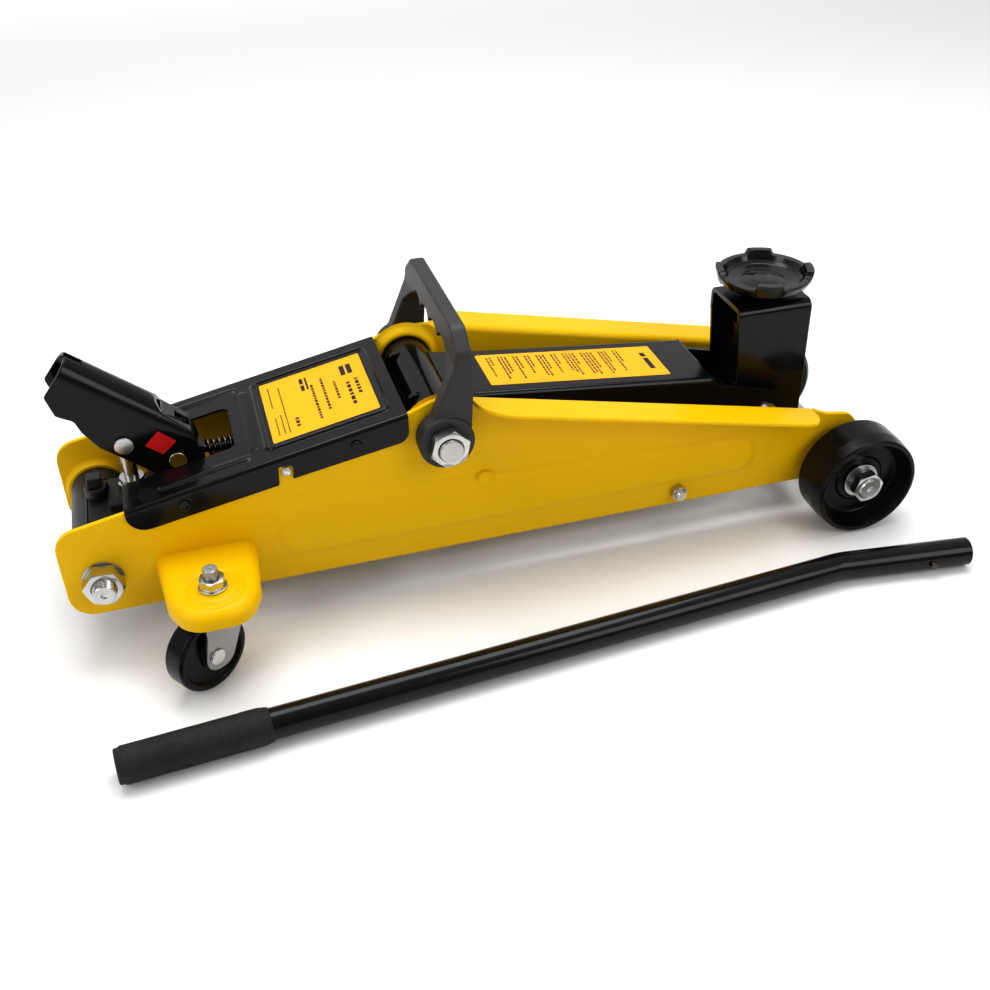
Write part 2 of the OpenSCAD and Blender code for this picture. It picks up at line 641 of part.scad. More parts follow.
module caster_axle_right() color(steel) placed() mirror([0, 1, 0]) caster_axle(-right_caster_turn);
module caster_wheel_left() color(black) placed() caster_wheel(left_caster_turn);
module caster_wheel_right() color(black) placed() mirror([0, 1, 0]) caster_wheel(-right_caster_turn);

// ---- pump handle ----

handle_drop = atan2(grip_r - tube_r, tube_long);
module on_floor() {
    translate([handle_from[0], handle_from[1], grip_r + grip_l * tan(handle_drop)])
        rotate([0, 0, handle_heading]) rotate([0, handle_drop, 0]) children();
}
// Two straight lengths that meet at a ball-shaped knee
module bent_rod(r, from, to) {
    translate([from, 0, 0]) rotate([0, 90, 0]) cylinder(r = r, h = tube_long - from);
    translate([tube_long, 0, 0]) {
        sphere(r = r + 0.3);
        rotate([0, 90 , -tube_bend]) cylinder(r = r, h = to);
    }
}
module detent_place(inset) {
    translate([tube_long, 0, 0]) rotate([0, 0, -tube_bend])
        translate([tube_short - 32, -tube_r + inset, 0]) rotate([90, 0, 0]) children();
}
module handle_tube() color(black) placed() on_floor() difference() {
    bent_rod(tube_r, 4, tube_short);
    bent_rod(tube_r - tube_wall, 3, tube_short + 1);
    detent_place(4) cylinder(r = 2.6, h = 8);
}
module handle_grip() color("#303030") placed() on_floor() difference() {
    union() {
        rotate([0, 90, 0]) cylinder(r = grip_r, h = grip_l);
        translate([grip_l - 6, 0, 0]) rotate([0, 90, 0]) cylinder(r = grip_r, h = 6);
    }
    translate([4, 0, 0]) rotate([0, 90, 0]) cylinder(r = tube_r, h = grip_l);
}
module detent_pin() color(steel) placed() on_floor() detent_place(5) {
    cylinder(r = 2.5, h = 8.5);
    cylinder(r = 4, h = 2);
}

side_plate_left();
side_plate_right();
caster_bracket_left();
caster_bracket_right();
rear_cover();
cover_bolts();
cover_screws();
power_unit();
ram_barrel();
barrel_gland();
pump_cylinder();
filler_plug();
rear_bolts();
rear_washers();
rear_nuts();
arm_shaft();
arm_shaft_nuts();
front_axle();
axle_washers();
axle_nuts();
tie_rod();
tie_rod_nuts();
link_anchor_pins();
socket_hinge_pin();
release_spring();
release_coupling();
lift_arm();
arm_tube();
ram_pin();
saddle_hinge_pin();
saddle_pin_clips();
saddle_bracket();
link_pin();
saddle();
saddle_nut();
link_rods();
ram_rod();
ram_head();
handle_socket();
plunger_pin();
pump_plunger();
carry_handle();
front_wheel_left();
front_wheel_right();
caster_fork_left();
caster_fork_right();
caster_nut_left();
caster_nut_right();
caster_axle_left();
caster_axle_right();
caster_wheel_left();
caster_wheel_right();
handle_tube();
handle_grip();
detent_pin();
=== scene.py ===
"""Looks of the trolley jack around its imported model.

Lengths in this file are in millimetres in the jack's own frame (x from the plates' rear edge, y
from the middle plane, z from the floor) until place() turns them into metres in the row frame.
"""

import json
import math
import random

import bmesh
import bpy
from mathutils import Matrix, Vector
from mathutils.bvhtree import BVHTree
from mathutils.geometry import tessellate_polygon


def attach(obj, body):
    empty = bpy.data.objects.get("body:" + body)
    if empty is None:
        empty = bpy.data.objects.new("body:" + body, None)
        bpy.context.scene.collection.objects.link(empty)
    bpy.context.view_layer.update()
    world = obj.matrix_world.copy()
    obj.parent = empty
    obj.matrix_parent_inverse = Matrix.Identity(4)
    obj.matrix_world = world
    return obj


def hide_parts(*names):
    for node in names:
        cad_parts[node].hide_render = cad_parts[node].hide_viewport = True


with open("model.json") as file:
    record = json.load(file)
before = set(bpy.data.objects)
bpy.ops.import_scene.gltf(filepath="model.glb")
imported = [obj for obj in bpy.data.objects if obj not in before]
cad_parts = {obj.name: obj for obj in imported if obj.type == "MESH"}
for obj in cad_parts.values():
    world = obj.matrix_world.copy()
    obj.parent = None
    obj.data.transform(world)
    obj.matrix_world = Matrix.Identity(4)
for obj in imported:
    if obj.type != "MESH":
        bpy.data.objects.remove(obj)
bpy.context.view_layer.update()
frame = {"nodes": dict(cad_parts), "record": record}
nodes = frame["nodes"]

SHIFT = Vector((-324.0, 35.0, 0.0))
MM = 0.001


def place(p):
    """A point of the jack's frame, in metres in the row frame."""
    return (Vector(p) + SHIFT) * MM


# ---------------------------------------------------------------- camera


CAMERA_PLACE = (-0.2116, -0.7075, 0.5653)
CAMERA_ANGLES = (15.71, 34.95, -1.33)
LENS, SENSOR = 43.12, 36.0


def make_camera():
    """Camera at CAMERA_PLACE in metres, turned by heading, downward pitch and roll in degrees."""
    heading, pitch, roll = (math.radians(a) for a in CAMERA_ANGLES)
    ahead = Vector((math.sin(heading), math.cos(heading), 0.0))
    forward = ahead * math.cos(pitch) + Vector((0, 0, -math.sin(pitch)))
    right = Vector((math.cos(heading), -math.sin(heading), 0.0))
    up = right.cross(forward)
    cam_right = right * math.cos(roll) + up * math.sin(roll)
    cam_up = up * math.cos(roll) - right * math.sin(roll)
    data = bpy.data.cameras.new("camera")
    data.lens, data.sensor_width = LENS, SENSOR
    data.clip_start, data.clip_end = 0.05, 30.0
    cam = bpy.data.objects.new("camera", data)
    turn = Matrix((cam_right, cam_up, -forward)).transposed().to_4x4()
    cam.matrix_world = Matrix.Translation(CAMERA_PLACE) @ turn
    bpy.context.scene.collection.objects.link(cam)
    bpy.context.scene.camera = cam


make_camera()

# ---------------------------------------------------------------- materials


class Maker:
    """Builds one material's nodes with short calls."""

    def __init__(self, name):
        self.material = bpy.data.materials.new(name)
        self.material.use_nodes = True
        self.tree = self.material.node_tree
        self.tree.nodes.clear()
        self.out = self.add("ShaderNodeOutputMaterial")
        self.shader = self.add("ShaderNodeBsdfPrincipled")
        self.link(self.shader.outputs[0], self.out.inputs[0])
        self.coords = self.add("ShaderNodeTexCoord").outputs["Object"]

    def add(self, kind, **sockets):
        node = self.tree.nodes.new(kind)
        for key, value in sockets.items():
            node.inputs[key].default_value = value
        return node

    def link(self, a, b):
        self.tree.links.new(a, b)

    def set(self, **values):
        for key, value in values.items():
            self.shader.inputs[key.replace("_", " ")].default_value = value

    def noise(self, scale, detail=3.0, rough=0.55):
        n = self.add("ShaderNodeTexNoise", Scale=scale, Detail=detail, Roughness=rough)
        self.link(self.coords, n.inputs["Vector"])
        return n.outputs["Fac"]

    def ramp(self, value, stops):
        n = self.add("ShaderNodeValToRGB")
        n.color_ramp.elements[0].position, n.color_ramp.elements[0].color = stops[0]
        n.color_ramp.elements[1].position, n.color_ramp.elements[1].color = stops[-1]
        for position, colour in stops[1:-1]:
            n.color_ramp.elements.new(position).color = colour
        self.link(value, n.inputs[0])
        return n.outputs[0]

    def span(self, value, low, high, to_low, to_high):
        n = self.add("ShaderNodeMapRange")
        keys = ("From Min", "From Max", "To Min", "To Max")
        for key, number in zip(keys, (low, high, to_low, to_high)):
            n.inputs[key].default_value = number
        self.link(value, n.inputs["Value"])
        return n.outputs[0]

    def mix(self, factor, a, b):
        n = self.add("ShaderNodeMix")
        n.data_type = "RGBA"
        self.link(factor, n.inputs[0])
        for socket, value in ((n.inputs[6], a), (n.inputs[7], b)):
            if isinstance(value, tuple):
                socket.default_value = value
            else:
                self.link(value, socket)
        return n.outputs[2]

    def bump(self, height, strength, distance, under=None):
        n = self.add("ShaderNodeBump", Strength=strength, Distance=distance)
        self.link(height, n.inputs["Height"])
        if under is not None:
            self.link(under, n.inputs["Normal"])
        self.link(n.outputs[0], self.shader.inputs["Normal"])
        return n.outputs[0]


def paint(name, colour, deep, rough, coat, peel, level):
    """Sprayed enamel: slight cloudiness, uneven gloss and orange peel."""
    m = Maker(name)
    cloud = m.noise(9.0, 2.0)
    fine = m.noise(420.0, 2.0)
    base = m.mix(m.span(cloud, 0.3, 0.7, 0.0, 1.0), deep, colour)
    m.link(base, m.shader.inputs["Base Color"])
    smear = m.noise(38.0, 4.0, 0.65)
    m.link(m.span(smear, 0.35, 0.75, rough, rough + 0.12), m.shader.inputs["Roughness"])
    m.set(IOR=1.5, Specular_IOR_Level=level, Coat_Weight=coat, Coat_Roughness=0.08)
    m.bump(fine, peel, 0.0003)
    return m.material


def cast_iron():
    """Thin black paint over a sand casting's grain."""
    m = Maker("black_casting")
    grain = m.noise(620.0, 5.0, 0.7)
    lump = m.noise(700.0, 3.0, 0.6)
    stops = [(0.3, (0.004, 0.004, 0.0045, 1)), (0.75, (0.012, 0.012, 0.013, 1))]
    m.link(m.ramp(grain, stops), m.shader.inputs["Base Color"])
    m.link(m.span(lump, 0.3, 0.7, 0.30, 0.48), m.shader.inputs["Roughness"])
    m.set(Specular_IOR_Level=0.4)
    first = m.bump(lump, 0.8, 0.0010)
    m.bump(grain, 0.55, 0.0006, first)
    return m.material


def metal(name, tint, rough, grain_scale):
    """Plated or bare metal with clouded colour and uneven gloss."""
    m = Maker(name)
    fine = m.noise(grain_scale, 4.0, 0.6)
    cloud = m.noise(60.0, 3.0)
    dark = tuple(c * 0.86 for c in tint[:3]) + (1,)
    base = m.mix(m.span(cloud, 0.3, 0.72, 0.0, 1.0), dark, tint)
    m.link(base, m.shader.inputs["Base Color"])
    m.link(m.span(fine, 0.3, 0.7, rough, rough + 0.05), m.shader.inputs["Roughness"])
    m.set(Metallic=1.0)
    return m.material


def plastic(name, low, high, rough, grain, strength, level):
    """Moulded or cast surface with a fine cell grain."""
    m = Maker(name)
    speck = m.add("ShaderNodeTexVoronoi", Scale=grain)
    m.link(m.coords, speck.inputs["Vector"])
    cloud = m.noise(14.0, 3.0)
    m.link(m.ramp(cloud, [(0.3, low), (0.7, high)]), m.shader.inputs["Base Color"])
    gloss = m.span(m.noise(40.0, 2.0), 0.3, 0.7, rough, rough + 0.05)
    m.link(gloss, m.shader.inputs["Roughness"])
    m.set(Specular_IOR_Level=level)
    m.bump(speck.outputs["Distance"], strength, 0.0002)
    return m.material


def rubber():
    m = Maker("grip_rubber")
    cloud = m.noise(25.0, 4.0)
    stops = [(0.3, (0.010, 0.010, 0.010, 1)), (0.7, (0.020, 0.020, 0.020, 1))]
    m.link(m.ramp(cloud, stops), m.shader.inputs["Base Color"])
    m.link(m.span(m.noise(300.0), 0.3, 0.7, 0.62, 0.8), m.shader.inputs["Roughness"])
    m.set(Specular_IOR_Level=0.35)
    m.bump(m.noise(900.0, 3.0), 0.3, 0.0002)
    return m.material


def label(name, colour, deep, rough):
    """Printed film."""
    m = Maker(name)
    base = m.mix(m.span(m.noise(30.0), 0.3, 0.7, 0.0, 1.0), deep, colour)
    m.link(base, m.shader.inputs["Base Color"])
    gloss = m.span(m.noise(140.0), 0.3, 0.7, rough, rough + 0.08)
    m.link(gloss, m.shader.inputs["Roughness"])
    m.set(Specular_IOR_Level=0.25)
    m.bump(m.noise(500.0, 2.0), 0.05, 0.0001)
    return m.material


MATERIALS = {
    "yellow_paint": paint("yellow_paint", (0.84, 0.505, 0.001, 1), (0.79, 0.475, 0.001, 1),
                          rough=0.34, coat=0.04, peel=0.10, level=0.12),
    "black_paint": paint("black_paint", (0.006, 0.006, 0.0065, 1), (0.004, 0.004, 0.0045, 1),
                         rough=0.13, coat=0.10, peel=0.05, level=0.2),
    "black_casting": cast_iron(),
    "zinc": metal("zinc", (0.60, 0.60, 0.585, 1), 0.22, 500.0),
    "zinc_sheet": metal("zinc_sheet", (0.34, 0.34, 0.345, 1), 0.36, 500.0),
    "bright_steel": metal("bright_steel", (0.50, 0.49, 0.47, 1), 0.24, 380.0),
    "wheel_black": plastic("wheel_black", (0.004, 0.004, 0.004, 1), (0.006, 0.006, 0.006, 1),
                           rough=0.22, grain=900.0, strength=0.03, level=0.2),
    "handle_plastic": plastic("handle_plastic", (0.016, 0.016, 0.017, 1),
                              (0.024, 0.024, 0.025, 1), rough=0.46, grain=1500.0,
                              strength=0.45, level=0.5),
    "grip_rubber": rubber(),
    "label_yellow": label("label_yellow", (0.95, 0.45, 0.001, 1), (0.92, 0.43, 0.001, 1), 0.42),
    "label_ink": label("label_ink", (0.012, 0.012, 0.014, 1), (0.020, 0.020, 0.022, 1), 0.5),
    "spring_dark": metal("spring_dark", (0.085, 0.075, 0.06, 1), 0.18, 300.0),
    "saddle_black": plastic("saddle_black", (0.004, 0.004, 0.0045, 1),
                            (0.007, 0.007, 0.0075, 1), rough=0.16, grain=90.0, strength=0.10,
                            level=0.4),
    "label_red": label("label_red", (0.62, 0.012, 0.010, 1), (0.56, 0.010, 0.008, 1), 0.42),
}

for part in frame["record"]["subparts"]:
    cad = nodes[part["node"]]
    cad.data.materials.clear()
    cad.data.materials.append(MATERIALS[part["material_slot"]])

# ---------------------------------------------------------------- floor and lights


FLOOR_HALF = 40.0
FLOOR_DROP = 0.0004


def make_floor():
    bm = bmesh.new()
    h = FLOOR_HALF
    verts = [bm.verts.new(p) for p in ((-h, -h, 0), (h, -h, 0), (h, h, 0), (-h, h, 0))]
    bm.faces.new(verts)
    mesh = bpy.data.meshes.new("floor")
    bm.to_mesh(mesh)
    floor = bpy.data.objects.new("floor", mesh)
    floor.location.z = -FLOOR_DROP
    bpy.context.scene.collection.objects.link(floor)
    m = Maker("floor_pale")
    m.set(Base_Color=(0.92, 0.92, 0.92, 1), Roughness=0.7)
    m.link(m.span(m.noise(3.0), 0.3, 0.7, 0.66, 0.74), m.shader.inputs["Roughness"])
    mesh.materials.append(m.material)


def area_light(name, place_m, aim_m, size, power, spread=180.0):
    """Soft box at place_m facing aim_m; power in watts, spread in degrees."""
    data = bpy.data.lights.new(name, "AREA")
    data.shape = "RECTANGLE"
    data.size, data.size_y = size
    data.energy = power
    data.spread = math.radians(spread)
    lamp = bpy.data.objects.new(name, data)
    lamp.location = place_m
    lamp.rotation_mode = "QUATERNION"
    lamp.rotation_quaternion = (Vector(aim_m) - Vector(place_m)).to_track_quat("-Z", "Y")
    bpy.context.scene.collection.objects.link(lamp)


BRIGHT_WAY = (0.15, 0.75, 0.64)
WORLD_LEVELS = {"From Min": -0.35, "From Max": 0.85, "To Min": 0.22, "To Max": 0.7}


def make_world():
    """Studio that is brightest along BRIGHT_WAY and dimmer on the other side."""
    world = bpy.data.worlds.new("studio")
    world.use_nodes = True
    tree = world.node_tree
    back = tree.nodes["Background"]
    back.inputs["Color"].default_value = (1, 1, 1, 1)
    ray = tree.nodes.new("ShaderNodeTexCoord")
    toward = tree.nodes.new("ShaderNodeVectorMath")
    toward.operation = "DOT_PRODUCT"
    toward.inputs[1].default_value = BRIGHT_WAY
    tree.links.new(ray.outputs["Generated"], toward.inputs[0])
    level = tree.nodes.new("ShaderNodeMapRange")
    level.interpolation_type = "SMOOTHSTEP"
    for key, number in WORLD_LEVELS.items():
        level.inputs[key].default_value = number
    tree.links.new(toward.outputs["Value"], level.inputs["Value"])
    tree.links.new(level.outputs[0], back.inputs["Strength"])
    bpy.context.scene.world = world


make_floor()
make_world()
area_light("key_light", (0.1, 0.35, 1.7), (0, 0, 0.05), (1.5, 0.9), 18)
area_light("side_light", (-1.5, -0.5, 1.1), (0, 0, 0.1), (0.7, 1.2), 7)
area_light("fill_light", (1.0, -1.4, 1.2), (0, 0, 0.1), (0.9, 0.9), 8)
area_light("floor_light", (0.8, 4.4, 2.6), (0.8, 4.4, 0), (8.0, 4.0), 90, 60.0)
bpy.context.scene.view_settings.view_transform = "Standard"
bpy.context.scene.view_settings.look = "Medium High Contrast"

# ---------------------------------------------------------------- mesh building


def rounded(points, steps=6):
    """Outline from corners (x, y, radius), each turned into an arc."""
    out = []
    n = len(points)
    for k, (x, y, r) in enumerate(points):
        c = Vector((x, y))
        if not r:
            out.append(c)
            continue
        u = (Vector(points[k - 1][:2]) - c).normalized()
        w = (Vector(points[(k + 1) % n][:2]) - c).normalized()
        half = math.acos(max(-1.0, min(1.0, u.dot(w)))) / 2
        reach = r / math.tan(half)
        mid = c + (u + w).normalized() * (r / math.sin(half))
        s, e = c + u * reach - mid, c + w * reach - mid
        turn = (math.pi - 2 * half) * (1 if s.x * e.y - s.y * e.x > 0 else -1)
        for i in range(steps + 1):
            out.append(mid + Matrix.Rotation(turn * i / steps, 2) @ s)
    return out


def circle(x, y, r, steps=64):
    """Outline of a circle."""
    return [Vector((x + r * math.cos(a), y + r * math.sin(a)))
            for a in (2 * math.pi * k / steps for k in range(steps))]


def grown(points, d):
    """The outline moved outward by d, or inward if d is negative."""
    n = len(points)
    area = sum(points[k - 1].x * points[k].y - points[k].x * points[k - 1].y for k in range(n))
    side = 1 if area > 0 else -1
    out = []
    for k, p in enumerate(points):
        a = (p - points[k - 1]).normalized()
        b = (points[(k + 1) % n] - p).normalized()
        na, nb = Vector((a.y, -a.x)), Vector((b.y, -b.x))
        m = (na + nb).normalized()
        out.append(p + m * (side * d / max(0.4, m.dot(na))))
    return out


def soft_step(width, height, steps=6):
    """(distance outside the outline, height) from the foot of a pressed step up to its top."""
    return [(width * (1 - k / steps), height * (0.5 - 0.5 * math.cos(math.pi * k / steps)))
            for k in range(steps + 1)]


def onto(origin, axis, spin=0.0):
    """Matrix that takes local Z to axis at origin."""
    turn = Vector(axis).to_track_quat("Z", "Y").to_matrix().to_4x4()
    return Matrix.Translation(origin) @ turn @ Matrix.Rotation(math.radians(spin), 4, "Z")


class Build:
    """Vertices and faces of one piece, in the jack's frame in millimetres."""

    def __init__(self):
        self.v, self.f = [], []

    def loop(self, points, m=None):
        start = len(self.v)
        self.v.extend((m @ Vector(p)) if m else Vector(p) for p in points)
        return list(range(start, len(self.v)))

    def bridge(self, a, b):
        """Band of faces between two closed loops."""
        n = len(a)
        for i in range(n):
            j = (i + 1) % n
            self.f.append((a[i], a[j], b[j], b[i]))

    def stack(self, loops):
        for a, b in zip(loops, loops[1:]):
            self.bridge(a, b)

    def cap(self, outer, *holes):
        """Flat faces inside a loop, round any holes."""
        flat = [i for ring in (outer, *holes) for i in ring]
        for tri in tessellate_polygon([[self.v[i] for i in ring] for ring in (outer, *holes)]):
            self.f.append(tuple(flat[k] for k in tri))

    def slab(self, lift, points, low, high, r, steps=3, caps=True):
        """Plate between two heights with rounded edges; lift turns (point, height) into a place."""
        loops = []
        for k in range(steps + 1):
            a = math.pi / 2 * k / steps
            loops.append(self.loop([lift(p, low + r - r * math.cos(a))
                                    for p in grown(points, r * math.sin(a) - r)]))
        for k in range(steps + 1):
            a = math.pi / 2 * k / steps
            loops.append(self.loop([lift(p, high - r + r * math.sin(a))
                                    for p in grown(points, r * math.cos(a) - r)]))
        self.stack(loops)
        if caps:
            self.cap(loops[0])
            self.cap(loops[-1])
        return loops

    def press(self, lift, points, profile, level):
        """Loops of a pressed feature; returns its foot, for the hole it needs, and its top."""
        loops = [self.loop([lift(p, level + h) for p in grown(points, d)]) for d, h in profile]
        self.stack(loops)
        return loops[0], loops[-1]

    def lathe(self, profile, m, steps=64, closed=False, wave=None):
        """Profile of (radius, height) turned round local Z; wave(r, h, angle) may move points."""
        loops = []
        for r, h in profile:
            ring = []
            for k in range(steps):
                a = 2 * math.pi * k / steps
                rr, hh = wave(r, h, a) if wave else (r, h)
                ring.append((rr * math.cos(a), rr * math.sin(a), hh))
            loops.append(self.loop(ring, m))
        self.stack(loops + loops[:1] if closed else loops)
        if not closed:
            self.cap(loops[0])
            self.cap(loops[-1])

    def turned(self, corners, arc, m, steps=64, closed=False, wave=None):
        """A lathe piece whose profile has rounded corners (radius, height, corner radius)."""
        profile = [(p.x, p.y) for p in rounded(corners, arc)]
        self.lathe(profile, m, steps, closed, wave)

    def nut(self, m, flats, h0, h1, bore):
        """Hexagon nut with turned chamfers, from h0 to h1 along local Z."""
        steps, apothem, lead = 48, flats / 2, 0.8
        rim = apothem * 0.97
        mouth = bore + lead
        # (1 or -1 for a ring that follows the hexagon, radius of a round ring, height)
        rings = [(None, bore, h0 + lead), (None, mouth, h0), (None, rim, h0), (1, None, h0)]
        rings += [(-1, None, h1), (None, rim, h1), (None, mouth, h1), (None, bore, h1 - lead)]
        loops = []
        for mark, r, h in rings:
            ring = []
            for k in range(steps):
                a = 2 * math.pi * k / steps
                corner = apothem / math.cos((a + math.pi / 6) % (math.pi / 3) - math.pi / 6)
                rr, hh = r, h
                if mark:
                    rr = corner
                    hh = h + mark * (corner - rim) * 0.55
                ring.append((rr * math.cos(a), rr * math.sin(a), hh))
            loops.append(self.loop(ring, m))
        self.stack(loops + loops[:1])

    def thread(self, m, r, h0, h1, pitch, depth, chamfer=1.2, steps=40):
        """Threaded rod with a real helix and a centre mark in its flat outer end."""
        count = max(2, int((h1 - chamfer - h0) / pitch * 8))
        loops = []
        for i in range(count + 1):
            h = h0 + (h1 - chamfer - h0) * i / count
            ring = []
            for k in range(steps):
                a = 2 * math.pi * k / steps
                turn = ((h / pitch) - a / (2 * math.pi)) % 1.0
                dip = abs(2 * turn - 1)
                rr = r - depth * max(0.0, min(1.0, dip * 1.3 - 0.15))
                ring.append((rr * math.cos(a), rr * math.sin(a), h))
            loops.append(self.loop(ring, m))
        end = r - depth * 0.5 - chamfer * 0.5
        for rr, h in ((r - depth * 0.35, h1 - chamfer), (end, h1), (end * 0.36, h1),
                      (end * 0.26, h1 - 0.5), (0.2, h1 - 0.8)):
            loops.append(self.loop([(rr * math.cos(a), rr * math.sin(a), h)
                                    for a in (2 * math.pi * k / steps for k in range(steps))], m))
        self.stack(loops)
        self.cap(loops[0])
        self.cap(loops[-1])

    def sweep(self, path, r, sides=10, caps=True):
        """Round wire along a path of points; r is a radius or gives one for each point's index."""
        loops, side = [], None
        for k, p in enumerate(path):
            ahead = (path[min(k + 1, len(path) - 1)] - path[max(k - 1, 0)]).normalized()
            side = side or ahead.orthogonal()
            side = (side - ahead * side.dot(ahead)).normalized()
            other = ahead.cross(side)
            rr = r(k) if callable(r) else r
            loops.append(self.loop([p + side * rr * math.cos(a) + other * rr * math.sin(a)
                                    for a in (2 * math.pi * i / sides for i in range(sides))]))
        self.stack(loops)
        if caps:
            self.cap(loops[0])
            self.cap(loops[-1])
        return loops

    def mirrored(self):
        """Adds the mirror image across the middle plane."""
        n = len(self.v)
        self.v.extend(Vector((p.x, -p.y, p.z)) for p in list(self.v))
        self.f.extend(tuple(i + n for i in reversed(face)) for face in list(self.f))
        return self

    def flipped(self):
        """Turns the piece into its mirror image."""
        self.v = [Vector((p.x, -p.y, p.z)) for p in self.v]
        self.f = [tuple(reversed(face)) for face in self.f]
        return self

    def piece(self, name, slot, body, stands_for=(), material=None, sharp=32.0, weighted=True):
        """Makes the object, riding on a body and standing for CAD nodes."""
        bm = bmesh.new()
        made = [bm.verts.new(place(p)) for p in self.v]
        for face in self.f:
            if len(set(face)) == len(face):
                try:
                    bm.faces.new([made[i] for i in face])
                except ValueError:
                    continue
        return finish_piece(bm, name, slot, body, stands_for, material, sharp, weighted)


def finish_piece(bm, name, slot, body, stands_for=(), material=None, sharp=32.0, weighted=True):
    bmesh.ops.remove_doubles(bm, verts=bm.verts[:], dist=2e-6)
    bmesh.ops.dissolve_degenerate(bm, edges=bm.edges[:], dist=1e-7)
    bmesh.ops.recalc_face_normals(bm, faces=bm.faces[:])
    mesh = bpy.data.meshes.new(name)
    bm.to_mesh(mesh)
    bm.free()
    mesh.polygons.foreach_set("use_smooth", [True] * len(mesh.polygons))
    mesh.set_sharp_from_angle(angle=math.radians(sharp))
    obj = bpy.data.objects.new(name, mesh)
    bpy.context.scene.collection.objects.link(obj)
    mesh.materials.append(MATERIALS[material or slot])
    if weighted:
        modifier = obj.modifiers.new("weighted", "WEIGHTED_NORMAL")
        modifier.keep_sharp = True
        modifier.weight = 80
    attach(obj, body)
    if stands_for:
        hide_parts(*stands_for)
    return obj


def reworked(node, name, slot, body, bends=(), edge=0.5, material=None, sharp=32.0,
             segments=2, settle=None, extra=None):
    """A copy of a CAD node with chosen edges bent round and all its sharp edges eased.

    bends holds (test of an edge's middle and direction, radius, segments); settle(point) may move
    points first, and extra is a Build whose faces join the piece.
    """
    bm = bmesh.new()
    bm.from_mesh(nodes[node].data)
    to_jack = Matrix.Translation(-SHIFT) @ Matrix.Scale(1 / MM, 4)
    bmesh.ops.transform(bm, matrix=to_jack, verts=bm.verts[:])
    if settle:
        for v in bm.verts:
            settle(v.co)
        bmesh.ops.remove_doubles(bm, verts=bm.verts[:], dist=0.002)
        bmesh.ops.dissolve_degenerate(bm, edges=bm.edges[:], dist=0.001)
    bmesh.ops.remove_doubles(bm, verts=bm.verts[:], dist=0.002)
    bmesh.ops.dissolve_limit(bm, angle_limit=math.radians(1.0), verts=bm.verts[:],
                             edges=bm.edges[:])

    def ease(test, width, count):
        bm.normal_update()
        chosen = []
        for e in bm.edges:
            if len(e.link_faces) != 2 or e.calc_face_angle(0) < math.radians(sharp):
                continue
            mid = (e.verts[0].co + e.verts[1].co) / 2
            if test(mid, (e.verts[1].co - e.verts[0].co).normalized()):
                chosen.append(e)
        if chosen:
            bmesh.ops.bevel(bm, geom=chosen, offset=width, offset_type="OFFSET",
                            segments=count, profile=0.5, affect="EDGES", clamp_overlap=False)

    before = BVHTree.FromBMesh(bm)
    for test, width, count in bends:
        ease(test, width, count)
    ease(lambda mid, way: True, edge, segments)
    # a bevel corner that shot out past the surface goes back to it
    reach = max([edge] + [width for test, width, count in bends])
    for v in bm.verts:
        near, normal, index, gap = before.find_nearest(v.co)
        if gap > reach:
            v.co = near
    if extra:
        made = [bm.verts.new(p) for p in extra.v]
        for face in extra.f:
            bm.faces.new([made[i] for i in face])
    to_row = Matrix.Scale(MM, 4) @ Matrix.Translation(SHIFT)
    bmesh.ops.transform(bm, matrix=to_row, verts=bm.verts[:])
    return finish_piece(bm, name, slot, body, (node,), material, sharp)


# ---------------------------------------------------------------- side plates

HALF, INNER = 60.0, 56.0
AXLE, ARM, REAR = (591.0, 42.0), (267.0, 132.0), (26.0, 61.0)
FLANGE_X = (289.0, 557.0)
FLANGE_WIDTH, FLANGE_THICK = 25.0, 3.4
FLANGE_LEAD_IN, FLANGE_CORNER = 29.0, 15.0
PROUD = 0.03


def edge_z(x):
    """Top edge of the plates behind the arm shaft."""
    return 100.0 + 0.2 * x


def flange_z(x):
    return 155.0 - 0.2215 * (x - FLANGE_X[0])


def side_plate():
    b = Build()
    panel_step, panel_h = 8.5, 1.9
    points = rounded([(0, edge_z(0), 17), (240, edge_z(240), 20), (262, 157, 14),
                      (287, 156, 7), (300, flange_z(300) - 6, 6), (557, flange_z(557) - 6, 0),
                      (560, flange_z(560) - 1.2, 0), (572, 88.5, 8), (592, 85, 10),
                      (613, 60, 16), (612, 31, 16), (0, 31, 17)])
    panel = rounded([(154, 91, 13), (507, 78, 11), (508, 56, 10), (152, 55, 13)], 8)
    lift = lambda p, h: (p.x, h, p.y)
    loops = b.slab(lift, points, INNER, HALF, 1.1, caps=False)
    for rim, face in ((loops[-1], HALF), (loops[0], INNER)):
        foot, top = b.press(lift, panel, soft_step(panel_step, panel_h, 8), face)
        b.cap(rim, foot)
        b.cap(top)
    flange(b)
    # pressed rings that stand inward round the power unit and the arm's cross tube
    for (x, z), inside, outside, deep in ((REAR, 21.2, 25.4, 5.6), (ARM, 18.9, 27.5, 6.0)):
        ring = [(outside, 0.3), (outside - 1.5, -0.4), (outside - 3.2, -1.8),
                (outside - 4.4, -deep + 1.6), (outside - 5.6, -deep + 0.4),
                (outside - 6.8, -deep), (inside + 1.2, -deep), (inside + 0.3, -deep + 0.5),
                (inside, -deep + 1.5), (inside, 0.3)]
        b.lathe(ring, onto((x, INNER, z), (0, 1, 0)), 72, closed=True)
    return b


def quarter(count):
    """Angles of a quarter turn in count steps."""
    return [math.pi / 2 * k / count for k in range(count + 1)]


